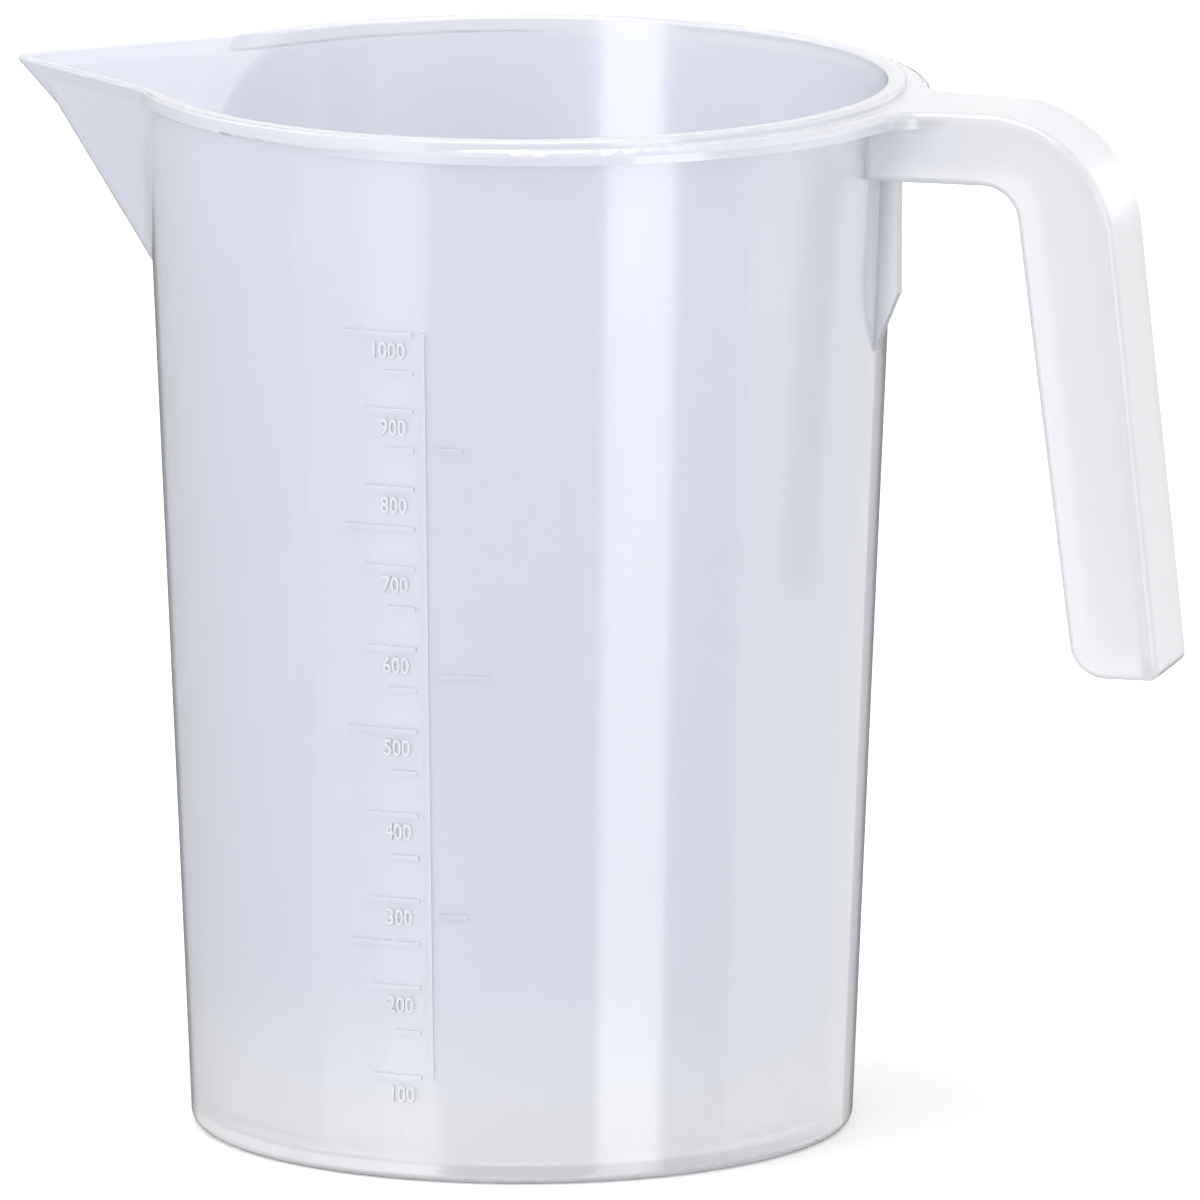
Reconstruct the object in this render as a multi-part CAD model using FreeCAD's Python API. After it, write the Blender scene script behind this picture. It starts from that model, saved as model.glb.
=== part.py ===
import FreeCAD, Part
import math
import os

# One-litre measuring jug, moulded in one piece from translucent plastic. Millimetres.
# The origin is the centre of the base and +Z is up. The spout points to -X, the open
# hook handle to +X, and the graduated scale faces -Y.

# Vessel
height = 157.0
base_radius = 49.2
rim_radius = 55.8
wall = 1.6
floor_thickness = 2.0
foot_round = 1.6
floor_round = 4.0
lip_round = 0.5

# Bead round the rim, and the flange that widens it towards the handle
bead_overhang = 1.2
bead_height = 2.6
bead_round = 0.9
flange_reach = 60.6
flange_drop = 1.0
flange_thickness = 2.4
flange_blend = 9.0

# Spout: a rounded V in plan that keeps its shape down a straight, slanting keel, and a lip
# on its top that flares out further
spout_reach = 75.7
spout_depth = 33.5
spout_half_angle = 42.0
keel_round = 6.0
lip_reach = 78.0
lip_flare = 43.0
beak_round = 3.0
crease_round = 10.0

# Handle: a channel, open towards the vessel, that bends down from the rim
handle_width = 18.0
handle_skin = 2.4
bar_depth = 10.7
bar_reach = 90.5
bend_round = 20.0
leg_flare = 6.2
leg_inner_reach = 77.2
leg_inner_flare = 7.3
leg_end = 72.5
grip_round = 5.5
toe_round = 1.5
edge_round = 1.2

# Upright rib under the root of the handle
rib_width = 3.0
rib_reach = 57.8
rib_length = 18.0
rib_taper = 11.0

# Scale, raised from the wall
mark_relief = 0.35
mark_width = 0.7
line_gap = 1.2
long_mark = 11.0
middle_mark = 7.7
short_mark = 4.3
scale_first = 100
scale_last = 1000
scale_step = 50
pint = 568.0

# Derived
taper = (rim_radius - base_radius) / height
bead_radius = rim_radius + bead_overhang
handle_top = height - flange_drop
bar_under = handle_top - bar_depth
overrun = 1.0

centre = FreeCAD.Vector(0, 0, 0)
up = FreeCAD.Vector(0, 0, 1)


def wall_radius(z):
    return base_radius + taper * z


def slope(degrees):
    return math.tan(math.radians(degrees))


def rounded_face(corners):
    """A flat face from (point, radius) corners, with a tangent arc where a radius is given."""
    bends = []
    for index, (point, radius) in enumerate(corners):
        before = (corners[index - 1][0] - point).normalize()
        after = (corners[(index + 1) % len(corners)][0] - point).normalize()
        half = before.getAngle(after) / 2
        start = point + before * (radius / math.tan(half))
        middle = point + (before + after).normalize() * (radius / math.sin(half) - radius)
        end = point + after * (radius / math.tan(half))
        bends.append((start, middle, end, radius))
    edges = []
    for index, (start, middle, end, radius) in enumerate(bends):
        edges.append(Part.LineSegment(bends[index - 1][2], start).toShape())
        if radius:
            edges.append(Part.Arc(start, middle, end).toShape())
    return Part.Face(Part.Wire(edges))


def ring(corners, turn=360):
    """Turns an outline of (radius, height, rounding) corners about the axis of the vessel."""
    outline = [(FreeCAD.Vector(radius, 0, z), rounding) for radius, z, rounding in corners]
    return rounded_face(outline).revolve(centre, up, turn)


def plate(corners, width):
    """An outline of (x, height, rounding) corners, made as wide as given across the handle."""
    outline = [(FreeCAD.Vector(x, -width / 2, z), rounding) for x, z, rounding in corners]
    return rounded_face(outline).extrude(FreeCAD.Vector(0, width, 0))


def vessel_form(inset, bottom, top, corner):
    """The tapered cup as a solid, drawn in from the outer wall by the inset."""
    return ring([
        (0, bottom, 0),
        (wall_radius(bottom) - inset, bottom, corner),
        (wall_radius(top) - inset, top, 0),
        (0, top, 0),
    ])


def v_prism(reach, keel_slope, round_out, inset, top):
    """A rounded V in plan, drawn from the top down along a slanting keel."""
    sine = math.sin(math.radians(spout_half_angle))
    radius = round_out - inset * math.hypot(1, sine * keel_slope)
    apex = reach - round_out + radius / sine
    back = rim_radius / 2
    spread = (apex - back) * slope(spout_half_angle)
    shift = (top - height) * keel_slope
    corners = [
        (FreeCAD.Vector(-apex - shift, 0, top), radius),
        (FreeCAD.Vector(-back - shift, spread, top), 0),
        (FreeCAD.Vector(-back - shift, -spread, top), 0),
    ]
    drop = top - height + 1.5 * spout_depth
    return rounded_face(corners).extrude(FreeCAD.Vector(drop * keel_slope, 0, -drop))


def spout_form(inset, top):
    """The spout as a solid, with the flare of its lip."""
    keel_slope = (spout_reach - wall_radius(height - spout_depth)) / spout_depth
    spout = v_prism(spout_reach, keel_slope, keel_round, inset, top)
    lip = v_prism(lip_reach, slope(lip_flare), beak_round, inset, top)
    return spout.fuse(lip)


def crease_edges(shape, inset):
    """The edges where the spout meets the round wall."""
    found = []
    for edge in shape.Edges:
        points = edge.discretize(7)
        gaps = [abs(math.hypot(p.x, p.y) - wall_radius(p.z) + inset) for p in points]
        box = edge.BoundBox
        if max(gaps) < 0.01 and box.XMax < 0 and box.ZLength > 0.5 and box.ZMin > height / 2:
            found.append(edge)
    return found


def cup_form(inset, bottom, top, corner, crease):
    """The cup and the spout together as a solid, with the crease between them rounded."""
    form = vessel_form(inset, bottom, top, corner).fuse(spout_form(inset, top)).removeSplitter()
    return form.makeFillet(crease, crease_edges(form, inset))


def bead():
    """The ring that thickens the rim."""
    return ring([
        (rim_radius - wall / 2, height - bead_height, 0),
        (bead_radius, height - bead_height, bead_round),
        (bead_radius, height, 0),
        (rim_radius - wall / 2, height, 0),
    ])


def flange():
    """A disc set off towards the handle, so the rim widens gently into the handle's top."""
    low = handle_top - flange_thickness
    offset = (flange_reach ** 2 - bead_radius ** 2) / (2 * flange_reach)
    position = FreeCAD.Vector(offset, 0, low)
    disc = Part.makeCylinder(flange_reach - offset, flange_thickness, position)
    root = Part.makeBox(
        flange_reach + flange_blend - base_radius, handle_width, flange_thickness,
        FreeCAD.Vector(base_radius, -handle_width / 2, low))
    form = disc.fuse(root)
    corners = []
    for edge in form.Edges:
        box = edge.BoundBox
        if box.ZLength > flange_thickness / 2 and base_radius < box.XMax < flange_reach:
            corners.append(edge)
    form = form.makeFillet(flange_blend, corners)
    rim = [edge for edge in form.Edges if edge.BoundBox.ZMin > handle_top - 0.01]
    return form.makeFillet(edge_round, rim)


def handle():
    """The channel: a bar and a leg with rounded edges, hollowed from the vessel's side."""
    root = wall_radius(bar_under) - wall / 2
    blank = plate([
        (root, handle_top, 0),
        (bar_reach, handle_top, bend_round),
        (bar_reach + (handle_top - leg_end) * slope(leg_flare), leg_end, toe_round),
        (leg_inner_reach + (bar_under - leg_end) * slope(leg_inner_flare), leg_end, grip_round),
        (leg_inner_reach, bar_under, grip_round),
        (root, bar_under, 0),
    ], handle_width)
    sides = [edge for edge in blank.Edges if edge.BoundBox.YLength < 0.01]
    blank = blank.makeFillet(edge_round, sides)
    top = handle_top - handle_skin
    low = leg_end - overrun
    bend = bar_reach - handle_skin
    hollow = plate([
        (root - overrun, top, 0),
        (bend, top, bend_round - handle_skin),
        (bend + (top - low) * slope(leg_flare), low, 0),
        (root - overrun, low, 0),
    ], handle_width - 2 * handle_skin)
    return blank.cut(hollow)


def rib():
    """The rib that ties the bar of the handle to the wall."""
    low = bar_under - rib_length - rib_taper
    root = wall_radius(low) - wall / 2
    return plate([
        (root, handle_top - handle_skin / 2, 0),
        (rib_reach, handle_top - handle_skin / 2, 0),
        (rib_reach, bar_under - rib_length, 0),
        (root, low, 0),
    ], rib_width)


def jug_body():
    """The jug without its scale, with the lip rounded inside and out."""
    outside = cup_form(0, 0, height, foot_round, crease_round)
    inside = cup_form(wall, floor_thickness, height + overrun, floor_round, crease_round + wall)
    body = outside.multiFuse([bead(), flange(), handle(), rib()]).cut(inside).removeSplitter()
    lip = [edge for edge in body.Edges if edge.BoundBox.ZMin > height - 0.01]
    return body.makeFillet(lip_round, lip)


def fill_height(volume):
    """The height that a volume in millilitres fills the vessel to."""
    bottom_radius = wall_radius(floor_thickness) - wall
    surface_radius = (bottom_radius ** 3 + 3000 * volume * taper / math.pi) ** (1 / 3)
    return floor_thickness + (surface_radius - bottom_radius) / taper


def mark(low, high, start, end):
    """A raised strip between two heights, from start to end along the wall from -Y."""
    radius = wall_radius(high)
    strip = ring([
        (wall_radius(low) - wall / 4, low, 0),
        (wall_radius(low) + mark_relief, low, 0),
        (wall_radius(high) + mark_relief, high, 0),
        (wall_radius(high) - wall / 4, high, 0),
    ], math.degrees((end - start) / radius))
    strip.rotate(centre, up, math.degrees(start / radius) - 90)
    return strip


def level_mark(volume, start, end):
    level = fill_height(volume)
    return mark(level - mark_width / 2, level + mark_width / 2, start, end)


def mark_length(volume):
    if volume % 250 == 0:
        return long_mark
    if volume % 100 == 0:
        return middle_mark
    return short_mark


def scale():
    """The upright line, with millilitre marks on its left and pint marks on its right."""
    half = mark_width / 2
    clear = half + line_gap
    marks = [mark(fill_height(scale_first) - half, fill_height(scale_last) + half, -half, half)]
    for volume in range(scale_first, scale_last + scale_step, scale_step):
        marks.append(level_mark(volume, -clear - mark_length(volume), -clear))
    for pints, length in ((0.5, short_mark), (1.0, middle_mark), (1.5, short_mark)):
        marks.append(level_mark(pints * pint, clear, clear + length))
    return marks


def jug():
    return jug_body().multiFuse(scale()).removeSplitter().Solids[0]


os.makedirs("parts", exist_ok=True)
jug().exportStep("parts/jug.step")
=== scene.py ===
import math

import bpy
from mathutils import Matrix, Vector
from mathutils.bvhtree import BVHTree


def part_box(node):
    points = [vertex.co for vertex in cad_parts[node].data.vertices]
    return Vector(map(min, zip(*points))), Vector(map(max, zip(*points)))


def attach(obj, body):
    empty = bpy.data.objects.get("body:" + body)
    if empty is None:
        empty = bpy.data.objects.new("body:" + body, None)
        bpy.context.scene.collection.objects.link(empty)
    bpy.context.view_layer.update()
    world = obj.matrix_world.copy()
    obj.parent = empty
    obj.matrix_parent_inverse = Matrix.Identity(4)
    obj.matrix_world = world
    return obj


# Measuring jug in milky plastic. Metres, degrees and watts. The spout points to -X, the handle
# to +X and the scale faces -Y. The shape is the CAD node. This script adds the raised numbers of
# the scale, the plastic, the studio and the camera.

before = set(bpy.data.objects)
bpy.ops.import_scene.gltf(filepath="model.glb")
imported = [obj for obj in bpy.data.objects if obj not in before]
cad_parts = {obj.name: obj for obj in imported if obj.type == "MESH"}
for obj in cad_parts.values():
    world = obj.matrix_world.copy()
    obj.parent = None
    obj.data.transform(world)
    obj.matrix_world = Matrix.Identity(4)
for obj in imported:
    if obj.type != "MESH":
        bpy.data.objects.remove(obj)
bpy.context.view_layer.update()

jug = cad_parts["jug"]
jug_low, jug_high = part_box("jug")
middle = (jug_low + jug_high) / 2
height = jug_high.z

# Camera
camera_azimuth = 15.2
camera_elevation = 10.9
camera_distance = 3.49
view_width = 0.178
view_shift = (0.0010, 0, 0.0003)

# Plastic: its colours, and how clear, hazy and glossy it is
wall_tint_cool = (0.845, 0.875, 0.963)
wall_tint_warm = (0.870, 0.888, 0.972)
# The whiter tint of the painted light on handle, rim, foot and numbers
painted_light_tint = (0.965, 0.968, 1.0)
see_through = 0.6
plastic_ior = 1.49
haze_low = 0.285
haze_high = 0.33
gloss = 0.13
gloss_ior = 1.7

# Painted light: the colour turns whiter from X start to X end on the handle, from Z start to Z end
# on rim (painted highlight) and foot
# Painted light: the handle's colour turns toward the whiter tint from X start to X end
handle_painted_light_start = 0.025
handle_painted_light_end = 0.085
# Painted highlight: the lip's colour turns whiter from Z start to Z end, faded out from the right
# X to the left X towards the spout
rim_painted_highlight_start = 0.1530
rim_painted_highlight_end = 0.1560
rim_painted_highlight = 0.7
rim_painted_highlight_left = -0.062
rim_painted_highlight_right = -0.030
# Painted light: the colour turns whiter towards the bottom, from Z start to Z end
foot_painted_light_start = 0.030
foot_painted_light_end = 0.006
foot_painted_light = 1.0

# Patterns in the plastic: drifts of colour, haze, upright scuffs and the grain of the mould
flow_scale = 14
flow_stretch = (1, 1, 0.35)
haze_scale = 60
scuff_scale = 150
scuff_stretch = (1, 1, 0.12)
scuff_start = 0.60
scuff_end = 0.74
scuff_white = 0.30
scuff_haze = 0.04
grain_scale = 900
grain_depth = 0.0003
grain_strength = 0.05

# Numbers of the scale, in ml, and the wall that carries them
floor_level = 0.002
wall = 0.0016
wall_probe_azimuth = -30
wall_probe_shares = (0.2, 0.8)
first_number = 100
last_number = 1000
number_step = 100
digit_size = 0.0034
digit_squeeze = 0.82
digit_relief = 0.0003
digit_sink = 0.0001
digit_bevel = 0.00008
number_gap = 0.0011
number_start = 0.0026
number_see_through = 0.40
# Share of the painted-light tint in the numbers: a painted highlight on the raised digits
number_painted_light = 0.35

# Floor
floor_radius = 12
floor_colour = (0.80, 0.80, 0.80)
floor_roughness = 0.7
floor_specular = 0.1
floor_glow = 0.14

# World and card. The card is a drum, and its grey fades in between two heights. Behind the jug
# it is darker, from one value to the other of the cosine of the angle from straight behind.
world_light = 1.01
light_tint = (0.982, 0.988, 1.0)
card_distance = 8.0
card_reach = 8.0
card_fade_start = 0.24
card_fade_end = -0.40
card_grey = 0.45
behind_start = 0.90
behind_end = 0.97
behind_grey = 0.85

# Soft lamps: name, azimuth from the camera's, elevation, distance, width, height, power
softboxes = (
    ("softbox_right", 37, -12, 1.6, 0.62, 2.0, 9.2),
    ("softbox_left", -39, -12, 1.6, 0.55, 2.0, 1.8),
    ("softbox_left_wide", -50, -12, 1.6, 1.2, 2.0, 3.6),
    ("panel_right", 112, 0, 1.6, 2.4, 2.0, 8),
    ("panel_left", -90, 30, 1.6, 1.8, 1.8, 8),
    ("panel_top", 0, 80, 1.4, 1.0, 1.0, 9),
)

# Lamps that make gloss and light nothing
only_in_gloss = ("panel_right", "softbox_inner")

# The small lamp in the cup: right of the camera's line, towards the camera, height, and its turn
inner_lamp_side = -0.0293
inner_lamp_front = 0.0128
inner_lamp_height = 0.132
inner_lamp_turn = 144
inner_lamp_width = 0.020
inner_lamp_tall = 0.040
inner_lamp_power = 0.0076


def direction(azimuth, elevation):
    """The unit vector from the jug towards a place round it."""
    a = math.radians(azimuth)
    e = math.radians(elevation)
    return Vector((math.sin(a) * math.cos(e), -math.cos(a) * math.cos(e), math.sin(e)))


# ---------------------------------------------------------------- materials


def new_material(name):
    material = bpy.data.materials.new(name)
    material.use_nodes = True
    tree = material.node_tree
    return material, tree, tree.nodes["Principled BSDF"]


def socket(sockets, name):
    """The colour socket of that name on a Mix node, which has one for each kind of value."""
    return next(s for s in sockets if s.name == name and s.type == "RGBA")


def noise(tree, scale, detail=2.0, stretch=(1, 1, 1)):
    """A noise pattern fixed to the object, in metres."""
    place = tree.nodes.new("ShaderNodeTexCoord")
    mapping = tree.nodes.new("ShaderNodeMapping")
    mapping.inputs["Scale"].default_value = stretch
    texture = tree.nodes.new("ShaderNodeTexNoise")
    texture.inputs["Scale"].default_value = scale
    texture.inputs["Detail"].default_value = detail
    tree.links.new(place.outputs["Object"], mapping.inputs["Vector"])
    tree.links.new(mapping.outputs["Vector"], texture.inputs["Vector"])
    return texture.outputs["Fac"]


def spread(tree, source, low, high):
    """The pattern's middle half, spread over a range of numbers."""
    node = tree.nodes.new("ShaderNodeMapRange")
    node.inputs["From Min"].default_value = 0.25
    node.inputs["From Max"].default_value = 0.75
    node.inputs["To Min"].default_value = low
    node.inputs["To Max"].default_value = high
    tree.links.new(source, node.inputs["Value"])
    return node.outputs["Result"]


def tint(tree, source, first, second):
    """A colour that drifts between two with the pattern."""
    node = tree.nodes.new("ShaderNodeMix")
    node.data_type = "RGBA"
    socket(node.inputs, "A").default_value = (*first, 1)
    socket(node.inputs, "B").default_value = (*second, 1)
    tree.links.new(spread(tree, source, 0, 1), node.inputs["Factor"])
    return socket(node.outputs, "Result")


def ramp(tree, source, start, end, top=1.0):
    """A smooth step from 0 at the start to the top value at the end."""
    node = tree.nodes.new("ShaderNodeMapRange")
    node.interpolation_type = "SMOOTHSTEP"
    node.inputs["From Min"].default_value = start
    node.inputs["From Max"].default_value = end
    node.inputs["To Min"].default_value = 0
    node.inputs["To Max"].default_value = top
    tree.links.new(source, node.inputs["Value"])
    return node.outputs["Result"]


def math_node(tree, operation, first, second):
    """Arithmetic on two values, each a number or another node's output."""
    node = tree.nodes.new("ShaderNodeMath")
    node.operation = operation
    for index, value in enumerate((first, second)):
        if isinstance(value, (int, float)):
            node.inputs[index].default_value = value
        else:
            tree.links.new(value, node.inputs[index])
    return node.outputs[0]


def larger(tree, first, second):
    return math_node(tree, "MAXIMUM", first, second)


def times(tree, first, second):
    return math_node(tree, "MULTIPLY", first, second)


def minus(tree, first, second):
    return math_node(tree, "SUBTRACT", first, second)


def object_place(tree):
    """The place on the object, whole and as its X, Y and Z."""
    place = tree.nodes.new("ShaderNodeTexCoord").outputs["Object"]
    split = tree.nodes.new("ShaderNodeSeparateXYZ")
    tree.links.new(place, split.inputs[0])
    return place, split.outputs


def glow_places(tree):
    """Painted light, where the colour turns whiter to stand in for light: the handle, the lip away
    from the spout as a painted highlight, and the foot."""
    axis = object_place(tree)[1]
    handle = ramp(tree, axis["X"], handle_painted_light_start, handle_painted_light_end)
    rim = ramp(tree, axis["Z"], rim_painted_highlight_start, rim_painted_highlight_end, rim_painted_highlight)
    beside_spout = ramp(tree, axis["X"], rim_painted_highlight_left, rim_painted_highlight_right)
    foot = ramp(tree, axis["Z"], foot_painted_light_start, foot_painted_light_end, foot_painted_light)
    return larger(tree, larger(tree, handle, times(tree, rim, beside_spout)), foot)


def milky_plastic(name, clear, least_painted_light):
    """Natural polypropylene: milky, a little blue and glossy, with faint scuffs and mould grain.
    Painted light whitens handle, rim and foot; the last value is the least painted-light share."""
    material, tree, shader = new_material(name)
    flow = noise(tree, flow_scale, 3, flow_stretch)
    colour = tree.nodes.new("ShaderNodeMix")
    colour.data_type = "RGBA"
    scuffs = noise(tree, scuff_scale, 6, scuff_stretch)
    white_scuffs = ramp(tree, scuffs, scuff_start, scuff_end, scuff_white)
    # Painted light on handle, rim and foot, together with the real whitening of the scuffs
    painted_light_and_scuffs = larger(tree, glow_places(tree), white_scuffs)
    tree.links.new(larger(tree, painted_light_and_scuffs, least_painted_light), colour.inputs["Factor"])
    wall_colour = tint(tree, flow, wall_tint_cool, wall_tint_warm)
    tree.links.new(wall_colour, socket(colour.inputs, "A"))
    socket(colour.inputs, "B").default_value = (*painted_light_tint, 1)
    tree.links.new(socket(colour.outputs, "Result"), shader.inputs["Base Color"])
    haze = spread(tree, noise(tree, haze_scale, 4), haze_low, haze_high)
    rubbed = ramp(tree, scuffs, scuff_start, scuff_end, haze_high + scuff_haze)
    tree.links.new(larger(tree, haze, rubbed), shader.inputs["Roughness"])
    bump = tree.nodes.new("ShaderNodeBump")
    bump.inputs["Strength"].default_value = grain_strength
    bump.inputs["Distance"].default_value = grain_depth
    tree.links.new(noise(tree, grain_scale, 2), bump.inputs["Height"])
    tree.links.new(bump.outputs["Normal"], shader.inputs["Normal"])
    shader.inputs["IOR"].default_value = plastic_ior
    shader.inputs["Transmission Weight"].default_value = clear
    shader.inputs["Coat Weight"].default_value = 1.0
    shader.inputs["Coat Roughness"].default_value = gloss
    shader.inputs["Coat IOR"].default_value = gloss_ior
    return material


def floor_paint():
    """Matte and pale. It glows a little to the eye, so that it is white outside the shadow,
    and a reflection looks past it into the white studio."""
    material, tree, shader = new_material("floor_paint")
    shader.inputs["Base Color"].default_value = (*floor_colour, 1)
    shader.inputs["Roughness"].default_value = floor_roughness
    shader.inputs["Specular IOR Level"].default_value = floor_specular
    path = tree.nodes.new("ShaderNodeLightPath")
    seen = larger(tree, path.outputs["Is Camera Ray"], path.outputs["Is Transmission Ray"])
    shader.inputs["Emission Color"].default_value = (1, 1, 1, 1)
    tree.links.new(times(tree, seen, floor_glow), shader.inputs["Emission Strength"])
    clear = tree.nodes.new("ShaderNodeBsdfTransparent")
    mix = tree.nodes.new("ShaderNodeMixShader")
    tree.links.new(path.outputs["Is Glossy Ray"], mix.inputs["Fac"])
    tree.links.new(shader.outputs[0], mix.inputs[1])
    tree.links.new(clear.outputs[0], mix.inputs[2])
    tree.links.new(mix.outputs[0], tree.nodes["Material Output"].inputs["Surface"])
    return material


jug.data.materials[0] = milky_plastic("milky_plastic", see_through, 0)
# The numbers are a lighter copy of the plastic, with a painted highlight from the painted-light
# tint
number_plastic = milky_plastic("number_plastic", number_see_through, number_painted_light)


# ---------------------------------------------------------------- numbers of the scale


def wall_surface():
    """A function that gives the wall's outer radius at a height, and the wall's slope, measured
    on the CAD node away from the scale."""
    mesh = jug.data
    points = [v.co for v in mesh.vertices]
    faces = [tuple(p.vertices) for p in mesh.polygons]
    tree = BVHTree.FromPolygons(points, faces)
    side = direction(wall_probe_azimuth, 0)
    levels = [height * share for share in wall_probe_shares]
    radii = []
    for level in levels:
        start = side * (4 * height) + Vector((0, 0, level))
        hit = tree.ray_cast(start, -side)[0]
        radii.append(math.hypot(hit.x, hit.y))
    slope = (radii[1] - radii[0]) / (levels[1] - levels[0])
    return (lambda level: radii[0] + slope * (level - levels[0])), slope


wall_radius, wall_slope = wall_surface()


def fill_height(volume):
    """The level, in metres, that a volume in ml reaches inside the jug."""
    bottom = wall_radius(floor_level) - wall
    surface = (bottom ** 3 + 3e-6 * volume * wall_slope / math.pi) ** (1 / 3)
    return floor_level + (surface - bottom) / wall_slope


def flat_number(text):
    """The number as a flat mesh of some thickness, its upper right corner at the origin."""
    curve = bpy.data.curves.new("number", "FONT")
    curve.body = text
    curve.size = digit_size
    curve.align_x = "RIGHT"
    curve.align_y = "TOP"
    curve.resolution_u = 3
    curve.extrude = (digit_relief + digit_sink) / 2
    curve.bevel_depth = digit_bevel
    curve.bevel_resolution = 1
    text_object = bpy.data.objects.new("number", curve)
    mesh = bpy.data.meshes.new_from_object(text_object)
    bpy.data.objects.remove(text_object)
    return mesh


def add_number(volume):
    """A raised number on the wall, below its mark and left of the upright line."""
    mesh = flat_number(str(volume))
    top = fill_height(volume) - number_gap
    middle_depth = (digit_relief - digit_sink) / 2
    for vertex in mesh.vertices:
        level = top + vertex.co.y
        radius = wall_radius(level)
        angle = (vertex.co.x * digit_squeeze - number_start) / radius
        out = radius + middle_depth + vertex.co.z
        vertex.co = (out * math.sin(angle), -out * math.cos(angle), level)
    mesh.materials.clear()
    mesh.materials.append(number_plastic)
    number = bpy.data.objects.new(f"number_{volume}", mesh)
    bpy.context.scene.collection.objects.link(number)
    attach(number, "root")


for volume in range(first_number, last_number + 1, number_step):
    add_number(volume)


# ---------------------------------------------------------------- studio


def add_floor():
    bpy.ops.mesh.primitive_circle_add(
        vertices=128, radius=floor_radius, fill_type="NGON", location=(0, 0, 0))
    floor = bpy.context.object
    floor.name = "floor"
    floor.data.materials.append(floor_paint())


def add_world():
    """Even light, which the camera, the gloss and the clear plastic all see as white."""
    world = bpy.data.worlds.new("studio")
    bpy.context.scene.world = world
    world.use_nodes = True
    tree = world.node_tree
    lit = tree.nodes["Background"]
    lit.inputs["Color"].default_value = (*light_tint, 1)
    lit.inputs["Strength"].default_value = world_light
    white = tree.nodes.new("ShaderNodeBackground")
    white.inputs["Color"].default_value = (1, 1, 1, 1)
    path = tree.nodes.new("ShaderNodeLightPath")
    through = larger(tree, path.outputs["Is Glossy Ray"], path.outputs["Is Transmission Ray"])
    mix = tree.nodes.new("ShaderNodeMixShader")
    tree.links.new(larger(tree, path.outputs["Is Camera Ray"], through), mix.inputs["Fac"])
    tree.links.new(lit.outputs[0], mix.inputs[1])
    tree.links.new(white.outputs[0], mix.inputs[2])
    tree.links.new(mix.outputs[0], tree.nodes["World Output"].inputs["Surface"])


def card_paint():
    """White above the table and grey below it, darker behind the jug."""
    material = bpy.data.materials.new("card_paint")
    material.use_nodes = True
    tree = material.node_tree
    place, axis = object_place(tree)
    behind = tree.nodes.new("ShaderNodeVectorMath")
    behind.operation = "DOT_PRODUCT"
    behind.inputs[1].default_value = -direction(camera_azimuth, 0) / card_distance
    tree.links.new(place, behind.inputs[0])
    dark = ramp(tree, behind.outputs["Value"], behind_start, behind_end, behind_grey)
    below = ramp(tree, axis["Z"], card_fade_start, card_fade_end)
    shade = times(tree, below, larger(tree, dark, card_grey))
    grey = tree.nodes.new("ShaderNodeEmission")
    tree.links.new(minus(tree, 1, shade), grey.inputs["Strength"])
    tree.links.new(grey.outputs[0], tree.nodes["Material Output"].inputs["Surface"])
    material.cycles.emission_sampling = "NONE"
    return material


def add_card():
    """A drum of card far round the jug, grey below the table and white above it. Only the gloss
    sees it, and with it draws the edges of the plastic on the white ground."""
    bpy.ops.mesh.primitive_cylinder_add(
        vertices=96, radius=card_distance, depth=2 * card_reach, end_fill_type="NGON",
        location=(0, 0, 0))
    card = bpy.context.object
    card.name = "card"
    card.data.materials.append(card_paint())
    card.visible_camera = False
    card.visible_diffuse = False
    card.visible_transmission = False
    card.visible_shadow = False


def add_lamp(name, place, faces, width, tall, power):
    """A soft lamp, which the camera and the clear plastic don't see."""
    light = bpy.data.lights.new(name, "AREA")
    light.shape = "RECTANGLE"
    light.size = width
    light.size_y = tall
    light.energy = power
    lamp = bpy.data.objects.new(name, light)
    bpy.context.scene.collection.objects.link(lamp)
    lamp.location = place
    lamp.rotation_euler = faces.to_track_quat("-Z", "Y").to_euler()
    lamp.visible_camera = False
    lamp.visible_transmission = False
    lamp.visible_diffuse = name not in only_in_gloss


def add_softbox(name, azimuth, elevation, distance, width, tall, power):
    back = direction(camera_azimuth + azimuth, elevation)
    add_lamp(name, middle + back * distance, -back, width, tall, power)


def add_inner_lamp():
    """A small lamp in the cup, seen only as a gloss on the far wall."""
    right = direction(camera_azimuth + 90, 0)
    near = direction(camera_azimuth, 0)
    place = right * inner_lamp_side + near * inner_lamp_front + Vector((0, 0, inner_lamp_height))
    faces = direction(camera_azimuth + inner_lamp_turn, 0)
    add_lamp("softbox_inner", place, faces, inner_lamp_width, inner_lamp_tall, inner_lamp_power)


def add_camera():
    camera = bpy.data.objects.new("camera", bpy.data.cameras.new("camera"))
    bpy.context.scene.collection.objects.link(camera)
    back = direction(camera_azimuth, camera_elevation)
    target = middle + Vector(view_shift)
    camera.location = target + back * camera_distance
    camera.rotation_euler = (-back).to_track_quat("-Z", "Y").to_euler()
    camera.data.lens = camera.data.sensor_width * camera_distance / view_width
    bpy.context.scene.camera = camera


add_floor()
add_world()
add_card()
for softbox in softboxes:
    add_softbox(*softbox)
add_inner_lamp()
add_camera()
bpy.context.scene.view_settings.view_transform = "Standard"
